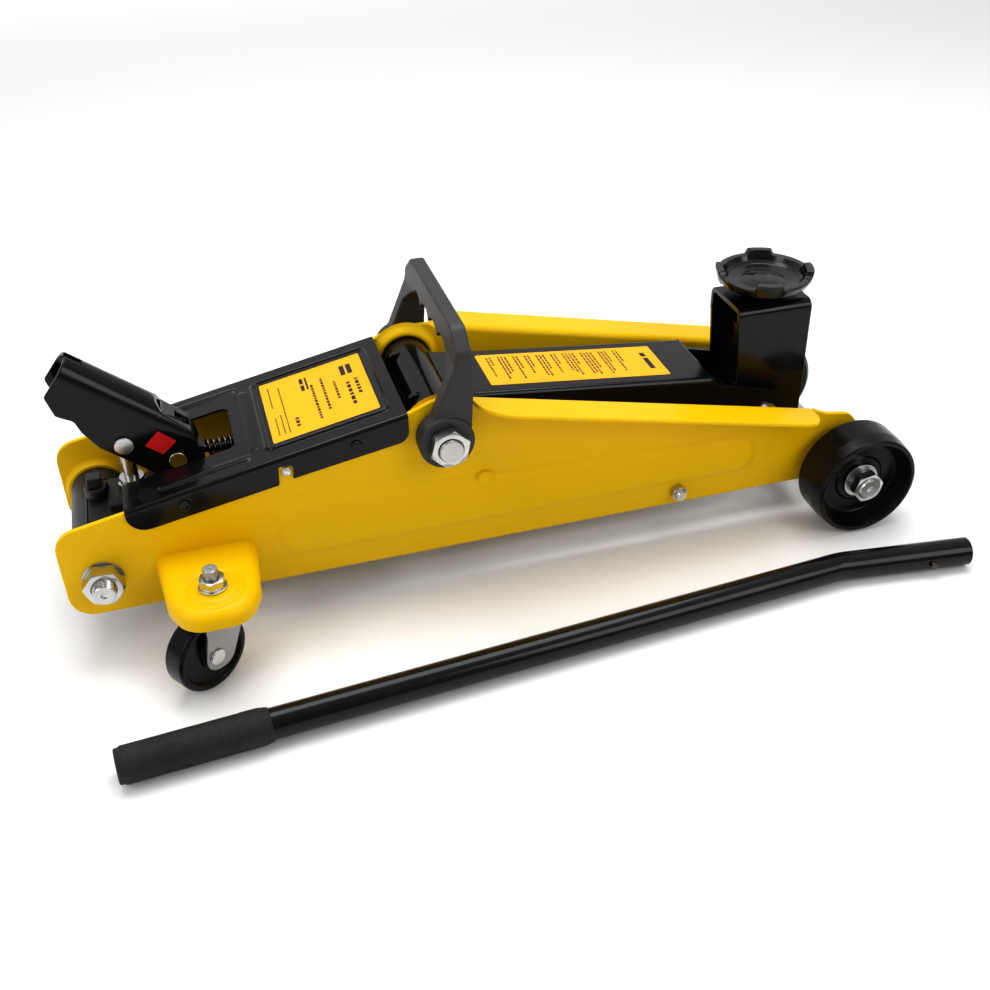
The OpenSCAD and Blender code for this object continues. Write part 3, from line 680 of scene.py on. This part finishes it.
def flange_width(s, length):
    """Width at distance s from the flange's rear end."""
    if s < FLANGE_LEAD_IN:
        rise = math.sqrt(max(0.0, 1 - (1 - s / FLANGE_LEAD_IN) ** 2.2))
        return 3.0 + (FLANGE_WIDTH - 3.0) * rise
    if s > length - FLANGE_CORNER:
        past = s - length + FLANGE_CORNER
        return FLANGE_WIDTH - FLANGE_CORNER + math.sqrt(max(0.0, FLANGE_CORNER ** 2 - past ** 2))
    return FLANGE_WIDTH


def flange(b):
    """Outward lip, bent from the plate's top edge along the front half."""
    length, t = FLANGE_X[1] - FLANGE_X[0], FLANGE_THICK
    bend_in, bend_out = 1.6, 5.0
    stations = [0.0, 0.6, 1.6, 3, 5, 7.5, 10.5, 14, 18, 23, 29]
    stations += [29 + (length - 45) * k / 12 for k in range(1, 13)]
    stations += [length - 16 + 16 * s for s in (0.5, 0.7, 0.82, 0.9, 0.95, 0.98, 1.0)]
    sections = []
    for s in stations:
        x, z = FLANGE_X[0] + s, flange_z(FLANGE_X[0] + s)
        tip = HALF + max(flange_width(s, length), bend_in + 1.8)
        near, far = HALF + bend_in, INNER - PROUD + bend_out
        ring = [(HALF + PROUD, z - 10)]
        ring += [(near - bend_in * math.cos(a), z - t - bend_in + bend_in * math.sin(a))
                 for a in quarter(5)]
        ring += [(tip - 1.5 + 1.5 * math.sin(a), z - t + 1.5 - 1.5 * math.cos(a))
                 for a in quarter(3)]
        ring += [(tip - 1.6 + 1.6 * math.cos(a), z - 1.6 + 1.6 * math.sin(a))
                 for a in quarter(3)]
        ring += [(far - bend_out * math.sin(a), z - bend_out + bend_out * math.cos(a))
                 for a in quarter(6)]
        ring += [(INNER - PROUD, z - 10)]
        sections.append(b.loop([(x, y, height) for y, height in ring]))
    b.stack(sections)
    b.cap(sections[0])
    b.cap(sections[-1])


side_plate().piece("plate_left_pressed", "yellow_paint", "chassis", ("side_plate_left",))
side_plate().flipped().piece("plate_right_pressed", "yellow_paint", "chassis",
                             ("side_plate_right",))

# ---------------------------------------------------------------- caster brackets


POST_X, POST_Y = 97, 107
BRACKET_TOP, BRACKET_BEND = 71, 8.5


def caster_bracket():
    b = Build()
    lift = lambda p, h: (p.x, p.y, h)
    points = rounded([(61, 54, 0), (131, 54, 0), (127, 112, 22), (117, 135, 20), (77, 135, 20),
                      (66, 112, 22)], 9)
    loops = [b.loop([lift(p, h) for p in grown(points, -d)])
             for d, h in ((2.6, 58.4), (1.8, 58.0), (0.6, 58.0), (0, 58.6))]
    r = BRACKET_BEND
    for k in range(8):
        a = math.pi / 2 * k / 7
        loops.append(b.loop([lift(p, BRACKET_TOP - r + r * math.sin(a))
                             for p in grown(points, r * math.cos(a) - r)]))
    b.stack(loops)
    rings = [(21.5, 0), (20.6, -0.25), (19.4, -0.75), (18.4, -0.8), (17.4, -0.4), (16.2, 0.5),
             (15.0, 0.95), (14.0, 1.1)]
    dimple = [b.loop([lift(p, BRACKET_TOP + h) for p in circle(POST_X, POST_Y, radius)])
              for radius, h in rings]
    b.stack(dimple)
    b.cap(loops[-1], dimple[0])
    b.cap(dimple[-1])
    inside = [b.loop([lift(p, h) for p in grown(points, -d)])
              for d, h in ((2.6, 58.4), (2.7, 64), (5, 67.4), (9, 68))]
    b.stack(inside)
    b.cap(inside[-1])
    return b


caster_bracket().piece("caster_bracket_left_pressed", "yellow_paint", "chassis",
                       ("caster_bracket_left",))
caster_bracket().flipped().piece("caster_bracket_right_pressed", "yellow_paint", "chassis",
                                 ("caster_bracket_right",))

# ---------------------------------------------------------------- rear cover, arm, bracket, socket


COVER_BEND_Y = 61.8
ARM_TOP_HALF = 34


def cover_z(x):
    """Top face of the rear cover."""
    return edge_z(x) + 1.8


def arm_z(x):
    """Top face of the lift arm."""
    return 141.5 - 0.1102 * (x - 300)


def on_cover(p, h):
    return p.x, p.y, cover_z(p.x) + h


def on_arm(p, h):
    return p.x, p.y, arm_z(p.x) + h


def cover_bend(mid, way):
    """True on the cover's outer bend lines."""
    near = abs(abs(mid.y) - COVER_BEND_Y) < 0.2 and abs(mid.z - cover_z(mid.x)) < 0.2
    return near and abs(way.x) > 0.9


def arm_bend(mid, way):
    """True on the bend lines along the arm's top."""
    near = abs(mid.z - arm_z(mid.x)) < 0.8 and abs(abs(mid.y) - ARM_TOP_HALF) < 0.1
    return near and abs(way.x) > 0.9 and 270 < mid.x < 486


def cover_pressings():
    """Border round the label, beads beside the slot and the rib between, with soft sides."""
    b = Build()
    border = rounded([(146, -49.5, 7), (235.5, -49.5, 7), (235.5, 49.5, 7), (146, 49.5, 7)], 8)
    ridge = [(0, 0.0), (0.5, 0.12), (1.1, 0.7), (1.7, 1.3), (2.4, 1.65), (3.0, 1.65), (3.6, 1.3),
             (4.2, 0.7), (4.8, 0.12), (5.3, 0.0)]
    b.stack([b.loop([on_cover(p, h) for p in grown(border, -d)]) for d, h in ridge])
    hump = [(0, 0.0), (0.6, 0.12), (1.3, 0.65), (2.1, 1.15), (3.0, 1.42), (3.9, 1.5)]
    bead = 4.6
    shapes = [([(72, y - bead, 4.4), (138, y - bead, 4.4), (138, y + bead, 4.4),
                (72, y + bead, 4.4)], 1.0) for y in (-47.5, 47.5)]
    shapes.append(([(136, -42, 4), (145, -42, 4), (145, 42, 4), (136, 42, 4)], 0.45))
    for corners, scale in shapes:
        outline = rounded(corners, 8)
        loops = [b.loop([on_cover(p, h * scale) for p in grown(outline, -d)]) for d, h in hump]
        b.stack(loops)
        b.cap(loops[-1])
    return b


def flatten_cover(p):
    """The cover's raised shapes go down to its top, where soft pressings take their place."""
    if abs(p.y) < 56:
        p.z = min(p.z, cover_z(p.x))


reworked("rear_cover", "rear_cover_bent", "black_paint", "chassis", edge=0.45,
         bends=((cover_bend, 3.2, 5),), settle=flatten_cover, extra=cover_pressings())
reworked("lift_arm", "lift_arm_bent", "black_paint", "lift_arm", edge=0.6,
         bends=((arm_bend, 3.6, 5),))
reworked("arm_tube", "arm_tube_welded", "black_paint", "lift_arm", edge=0.8)
reworked("saddle_bracket", "saddle_bracket_bent", "black_paint", "saddle_bracket", edge=0.6)
reworked("handle_socket", "handle_socket_bent", "black_paint", "handle_socket", edge=0.9,
         segments=3)
reworked("carry_handle", "carry_handle_moulded", "handle_plastic", "carry_handle", edge=1.8,
         segments=4)
reworked("power_unit", "power_unit_cast", "black_casting", "chassis", edge=2.2, segments=3)
reworked("filler_plug", "filler_plug_cast", "black_casting", "chassis", edge=0.8)

# ---------------------------------------------------------------- labels


LABEL_LOW, LABEL_HIGH, INK_HIGH = -0.1, 0.16, 0.2


def sticker(lift, corners, high):
    """Thin film over a rounded outline."""
    b = Build()
    b.slab(lift, rounded(corners), LABEL_LOW, high, 0.05, 1)
    return b


def bars(lift, rows):
    """Printed blocks, from rows of (x0, x1, y0, y1)."""
    b = Build()
    for x0, x1, y0, y1 in rows:
        corners = [(x0, y0), (x1, y0), (x1, y1), (x0, y1)]
        b.f.append(tuple(b.loop([lift(Vector(c), INK_HIGH) for c in corners])))
    return b


def words(draw, x, height, y0, y1, longest):
    """One printed line across the label, as a row of plain blocks."""
    out, y = [], y0
    while y < y1 - 0.4:
        end = min(y1, y + draw.uniform(0.45, 1.0) * longest)
        out.append((x, x + height, y, end))
        y = end + height * 0.55
    return out


def cover_label():
    corners = [(153.5, -41.5, 1.5), (229, -41.5, 1.5), (229, 41.5, 1.5), (153.5, 41.5, 1.5)]
    sticker(on_cover, corners, LABEL_HIGH).piece("cover_label", "label_yellow", "chassis")
    draw = random.Random(9)
    rows = [(212, 215.5, 17, 31), (217, 220.5, 17, 31), (182, 184.6, 24, 32),
            (182, 184.6, 14, 22), (186, 187.4, 14, 32)]
    # (x, height, from y, to y, longest block)
    lines = ((219.5, 2.6, -14, 8, 5), (213.2, 2.6, -26, 8, 6), (204.6, 1.9, -12, 14, 4),
             (196.2, 1.9, -22, 24, 4), (188.6, 1.9, -30, 20, 4), (172, 2.6, -30, -18, 5),
             (166, 0.9, -34, 30, 3), (162.6, 0.9, -34, -8, 3), (158.6, 0.9, 4, 34, 3),
             (158.6, 0.9, -34, -10, 3))
    for line in lines:
        rows += words(draw, *line)
    bars(on_cover, rows).piece("cover_label_bars", "label_ink", "chassis", weighted=False)


def arm_label():
    corners = [(314, -23.5, 1.5), (455, -23.5, 1.5), (455, 23.5, 1.5), (314, 23.5, 1.5)]
    sticker(on_arm, corners, LABEL_HIGH).piece("arm_label", "label_yellow", "lift_arm")
    draw = random.Random(4)
    rows = words(draw, 443, 4.2, -13, 13, 30)
    x, margin = 321.0, 19
    for lines in (2, 3, 2, 2, 3, 2, 4, 4, 3, 2):
        for k in range(lines):
            long = draw.uniform(26, 37) if k < lines - 1 else draw.uniform(8, 26)
            rows += words(draw, x, 1.3, margin - long, margin, 5.0)
            x += 2.7
        x += 3.8
    bars(on_arm, rows).piece("arm_label_bars", "label_ink", "lift_arm", weighted=False)


def red_label():
    corners = [(68.6, 131.5, 0.8), (79.6, 122.5, 0.8), (90.0, 131.5, 0.8), (79.0, 141.5, 0.8)]
    on_socket = lambda p, h: (p.x, -14.5 - h, p.y)
    sticker(on_socket, corners, 0.14).piece("socket_label", "label_red", "handle_socket")


cover_label()
arm_label()
red_label()

# ---------------------------------------------------------------- wheels


def wheel(node, m, corners, steps):
    """Wheel for the CAD node and body of the same name."""
    b = Build()
    b.turned(corners, 4, m, steps, closed=True)
    b.piece(node + "_moulded", "wheel_black", node, (node,), sharp=50)


for side, word in ((1, "left"), (-1, "right")):
    wheel("front_wheel_" + word, onto((AXLE[0], side * 65, AXLE[1]), (0, side, 0)),
          [(9.1, 0, 0.4), (38, 0, 2), (42, 4, 3.5), (42, 25, 14), (40.7, 35.2, 1),
           (39.4, 36, 0.8), (37.2, 36, 0.8), (34.4, 29, 3), (31, 21.5, 3), (20, 21.4, 1.2),
           (18.4, 23, 1), (9.1, 23, 0.6)], 96)


CASTER_TRAIL, CASTER_R = 15, 28


def caster_axis(side, turn):
    """Centre of a caster wheel and its axle's outward direction."""
    a = math.radians(turn)
    centre = Vector((POST_X - CASTER_TRAIL * math.cos(a),
                     side * POST_Y - CASTER_TRAIL * math.sin(a), CASTER_R))
    return centre, Vector((-math.sin(a), math.cos(a), 0)) * side


def caster(word, side, turn):
    centre, axis = caster_axis(side, turn)
    wheel("caster_wheel_" + word, onto(centre, axis),
          [(4.1, -8.5, 0.5), (9, -8.5, 0.8), (10.4, -5.6, 1), (21.4, -5.2, 1.5),
           (23.6, -8.5, 1), (28, -8.5, 2.4), (28, 8.5, 2.4), (23.6, 8.5, 1), (21.4, 5.2, 1.5),
           (10.4, 5.6, 1), (9, 8.5, 0.8), (4.1, 8.5, 0.5)], 72)
    body = "caster_" + word
    reworked("caster_fork_" + word, "caster_fork_" + word + "_pressed", "zinc", body, edge=0.5,
             material="zinc_sheet")
    b = Build()
    for end in (-1, 1):
        b.turned([(0.2, 8, 0), (6, 8, 0), (6, 13.4, 1.1), (0.2, 13.6, 0)], 3,
                 onto(centre, axis * end), 40)
    b.lathe([(4, -11), (4, 11)], onto(centre, axis), 32)
    b.piece("caster_axle_" + word + "_riveted", "zinc", body, ("caster_axle_" + word,), sharp=40)
    b = Build()
    up = onto((POST_X, side * POST_Y, 0), (0, 0, 1), 12 * side)
    b.turned([(5.2, 72.3, 0), (9.6, 72.3, 0.3), (9.6, 73.7, 0.5), (5.2, 73.7, 0)], 2, up, 48,
             closed=True)
    b.nut(up, 15.6, 73.8, 80.4, 4.9)
    b.thread(up, 4.9, 71, 87.8, 1.5, 0.75, chamfer=0.6)
    b.piece("caster_nut_" + word + "_threaded", "zinc", body, ("caster_nut_" + word,))


caster("left", 1, 20.0)
caster("right", -1, 35.0)

# ---------------------------------------------------------------- nuts, bolts and axle ends


def washer(b, m, r0, r1, h0, h1):
    edge = min(0.35, (h1 - h0) / 3)
    b.turned([(r0, h0, 0), (r1, h0, edge), (r1, h1, edge), (r0, h1, 0)], 2, m, 56, closed=True)


def fasteners():
    """Rear bolts, arm shaft ends, front axle, tie rod, cover bolts and cover screws in turn."""
    b = Build()
    m = onto((REAR[0], HALF, REAR[1]), (0, 1, 0), 36)
    washer(b, m, 8.1, 14.2, 0, 1.6)
    b.nut(m, 24.6, 1.8, 13.6, 8.0)
    b.thread(m, 7.9, -2, 20.3, 2.2, 1.25, chamfer=0.5)
    b.mirrored().piece("rear_bolts_threaded", "zinc", "chassis",
                       ("rear_bolts", "rear_washers", "rear_nuts"))

    b = Build()
    m = onto((ARM[0], HALF, ARM[1]), (0, 1, 0), 14)
    b.nut(m, 25, 18.3, 26.8, 8.6)
    b.turned([(0.3, 10, 0), (8.3, 10, 0), (8.3, 28.2, 0.9), (0.3, 28.4, 0)], 3, m, 56)
    b.mirrored().piece("arm_shaft_nuts_turned", "zinc", "chassis", ("arm_shaft_nuts",))

    b = Build()
    m = onto((AXLE[0], 0, AXLE[1]), (0, 1, 0), 20)
    b.lathe([(9, 0), (9, 87.4), (8.5, 88)], m, 56)
    washer(b, m, 8.6, 14, 88.4, 90.7)
    for k in range(3):
        washer(b, m, 8.6, 12.4 - 0.3 * k, 90.9 + 1.3 * k, 92.1 + 1.3 * k)
    b.nut(m, 22, 95, 102.4, 8.4)
    b.thread(m, 8.3, 87, 104, 1.75, 0.6)
    b.mirrored().piece("front_axle_turned", "zinc", "chassis",
                       ("front_axle", "axle_nuts", "axle_washers"))

    b = Build()
    m = onto((450, 0, 43), (0, 1, 0), 8)
    b.lathe([(5, 0), (5, 55.6), (3.6, 56)], m, 40)
    b.nut(m, 11, 60.1, 66.0, 4.0)
    b.thread(m, 3.9, 55, 69.4, 1.25, 0.45, chamfer=0.8)
    b.mirrored().piece("tie_rod_turned", "zinc", "chassis", ("tie_rod", "tie_rod_nuts"))

    b = Build()
    for x in (88, 207):
        m = onto((x, COVER_BEND_Y, edge_z(x) - 8.5), (0, 1, 0))
        b.turned([(0.2, -3, 0), (2.5, -3, 0), (2.5, -0.1, 0), (4.2, -0.1, 0.2), (3.9, 2.2, 1.4),
                  (0.2, 2.4, 0)], 4, m, 40)
    b.mirrored().piece("cover_bolts_domed", "black_paint", "chassis", ("cover_bolts",))

    b = Build()
    m = onto((158, HALF, edge_z(158) - 10), (0, 1, 0))
    b.turned([(0.2, -3, 0), (2, -3, 0), (2, 0, 0), (3.4, 0, 0.2), (3.3, 1.8, 0.7),
              (2.6, 2.0, 0.2), (2.2, 1.4, 0.2), (0.2, 1.3, 0)], 3, m, 40)
    b.mirrored().piece("cover_screws_domed", "zinc", "chassis", ("cover_screws",))


fasteners()


SOCKET_HINGE = (88.5, 116.5)
SOCKET_TILT = 39


def pins():
    """The two headed pins through the handle socket, and the link rods' anchors."""
    t = math.radians(SOCKET_TILT)
    x0, z0 = SOCKET_HINGE
    plunge = (x0 - 37.3 * math.cos(t) - 6.8 * math.sin(t),
              z0 + 37.3 * math.sin(t) - 6.8 * math.cos(t))
    for name, node, body, (x, z), r in (
            ("socket_hinge_pin_headed", "socket_hinge_pin", "chassis", SOCKET_HINGE, 6.2),
            ("plunger_pin_headed", "plunger_pin", "handle_socket", plunge, 6.5)):
        b = Build()
        m = onto((x, 0, z), (0, 1, 0))
        b.turned([(0.2, 14.4, 0), (r, 14.4, 0), (r, 16.5, 0.6), (0.2, 16.6, 0)], 3, m, 48)
        b.lathe([(5, 0), (5, 14.6)], m, 40)
        b.mirrored().piece(name, "zinc", body, (node,))
    b = Build()
    m = onto((297, 0, 86), (0, 1, 0))
    b.lathe([(6.0, 40), (6.0, 61.9), (5.7, 62.15), (0.2, 62.15)], m, 56)
    b.lathe([(7.1, 61.7), (7.1, 62.0), (6.2, 62.05), (6.2, 61.7)], m, 56, closed=True)
    b.mirrored().piece("link_anchor_pins_painted", "yellow_paint", "chassis",
                       ("link_anchor_pins",))


pins()


def release_spring():
    """Coil between the release coupling and the power unit."""
    b = Build()
    turns, steps, radius, wire = 9, 24, 6.6, 1.25
    x0, x1, axis_z = 109.2, 145.0, 113
    path = []
    for k in range(turns * steps + 1):
        a = 2 * math.pi * k / steps
        path.append(Vector((x0 + (x1 - x0) * k / (turns * steps), radius * math.cos(a),
                            axis_z + radius * math.sin(a))))
    b.sweep(path, wire, 12)
    b.piece("release_spring_coiled", "zinc", "chassis", ("release_spring",),
            material="spring_dark", sharp=60)


release_spring()

# ---------------------------------------------------------------- saddle


SADDLE_X = 537
LUG_TURN, LUG_PITCH = 20, 90
LUG_HALF, LUG_SIDE = 18.5, 4.5


def lugs(r, h, a):
    """Raises the rim into four lugs with sloping sides."""
    off = abs((math.degrees(a) + LUG_TURN + LUG_PITCH / 2) % LUG_PITCH - LUG_PITCH / 2)
    k = max(0.0, min(1.0, (LUG_HALF - off) / LUG_SIDE))
    k = k * k * (3 - 2 * k)
    if h > 183.6 and r > 29.5:
        h += k * 3.6 * min(1.0, (r - 29.5) / 2.0)
    if r > 33:
        r += k * 0.8
    return r, h


def saddle():
    """Cast dish with four lugs round its rim, and the nut under it."""
    b = Build()
    m = onto((SADDLE_X, 0, 0), (0, 0, 1))
    b.turned([(0.3, 149.5, 0), (7, 149.5, 0.5), (7, 169.3, 0), (15.5, 169.3, 1),
              (17.5, 172.5, 3), (25, 175.2, 6), (33.5, 179.5, 4), (36, 184.6, 1.2),
              (36.0, 186.4, 0.8), (31, 186.4, 1), (28.8, 182.6, 1.6), (26.5, 180.6, 1.6),
              (18, 179.2, 6), (8, 181.2, 5), (0.3, 181.6, 0)], 4, m, 240, wave=lugs)
    b.piece("saddle_cast", "black_casting", "saddle", ("saddle",), sharp=60,
            material="saddle_black")
    b = Build()
    b.nut(onto((SADDLE_X, 0, 0), (0, 0, 1), 15), 21.6, 155.7, 164.7, 7.0)
    b.piece("saddle_nut_turned", "zinc", "saddle", ("saddle_nut",))


saddle()

# ---------------------------------------------------------------- pump handle

BAR_LONG, BAR_SHORT, BAR_R, BORE_R = 526, 101, 10.5, 8.7
DROP = math.atan2(2.0, 526.0)
TO_FLOOR = (Matrix.Translation((21, -190.3, 12.5 + 95 * math.tan(DROP)))
            @ Matrix.Rotation(math.radians(4.7), 4, "Z") @ Matrix.Rotation(DROP, 4, "Y"))
BEND, BEND_R = math.radians(11.4), 60.0
PAST_BEND = Vector((math.cos(BEND), -math.sin(BEND), 0))
GRIP_RIBS = 40


def knurl(r, h, a):
    """Cuts slanted grooves into the grip."""
    if 5.5 < h < 79:
        fade = min(1.0, (h - 5.5) / 2.0, (79 - h) / 2.0)
        phase = (GRIP_RIBS * a / (2 * math.pi) + h * 0.55) % 1.0
        r -= 0.42 * fade * abs(2 * phase - 1)
    return r, h


def handle_tube():
    """Cranked tube, open at its socket end."""
    reach = BEND_R * math.tan(BEND / 2)
    path = [Vector((5 + (BAR_LONG - reach - 5) * k / 10, 0, 0)) for k in range(11)]
    for k in range(1, 13):
        a = BEND * k / 12
        path.append(Vector((BAR_LONG - reach + BEND_R * math.sin(a),
                            -BEND_R * (1 - math.cos(a)), 0)))
    start = path[-1]
    end = Vector((BAR_LONG, 0, 0)) + PAST_BEND * BAR_SHORT
    path += [start + (end - start) * k / 6 for k in range(1, 7)]
    b = Build()
    world = [TO_FLOOR @ p for p in path]
    along = TO_FLOOR.to_3x3() @ PAST_BEND
    outer = b.sweep(world[:-1] + [world[-1] - along * 0.7], BAR_R, 48, caps=False)
    lip = b.sweep([world[-1] - along * 0.001, world[-1]], BAR_R - 0.6, 48, caps=False)
    b.bridge(outer[-1], lip[-1])
    inside = [world[-1] - along * d for d in (0, 0.5, 30, 60)]
    bore = b.sweep(inside, lambda k: BORE_R + 0.5 if k == 0 else BORE_R, 48, caps=False)
    b.bridge(lip[-1], bore[0])
    b.cap(bore[-1])
    b.cap(outer[0])
    b.piece("handle_tube_bent", "black_paint", "pump_handle", ("handle_tube",), sharp=50)


def handle_grip():
    b = Build()
    m = TO_FLOOR @ Matrix.Rotation(math.pi / 2, 4, "Y")
    profile = [(0.3, 1.0), (8.5, 1.0), (9.3, 0.2), (11.0, 0.0), (11.5, 0.5), (11.6, 3.0),
               (12.1, 3.4), (12.4, 4.2)]
    profile += [(12.45, 5.5 + 73.5 * k / 110) for k in range(111)]
    profile += [(12.5, 80), (12.5, 89), (12.3, 91), (11.4, 96), (11.0, 96.8), (10.4, 97)]
    b.lathe(profile, m, 160, wave=knurl)
    b.piece("handle_grip_knurled", "grip_rubber", "pump_handle", ("handle_grip",), sharp=60,
            weighted=False)


def detent_pin():
    b = Build()
    at = TO_FLOOR @ (Vector((BAR_LONG, 0, 0)) + PAST_BEND * 69)
    out = TO_FLOOR.to_3x3() @ Vector((-math.sin(BEND), -math.cos(BEND), 0))
    b.turned([(0.1, 4.0, 0), (2.5, 4.0, 0), (2.5, 14.0, 1.2), (0.1, 14.1, 0)], 4,
             onto(at, out), 32)
    b.piece("detent_pin_domed", "zinc", "detent_pin", ("detent_pin",), material="spring_dark")


handle_tube()
handle_grip()
detent_pin()
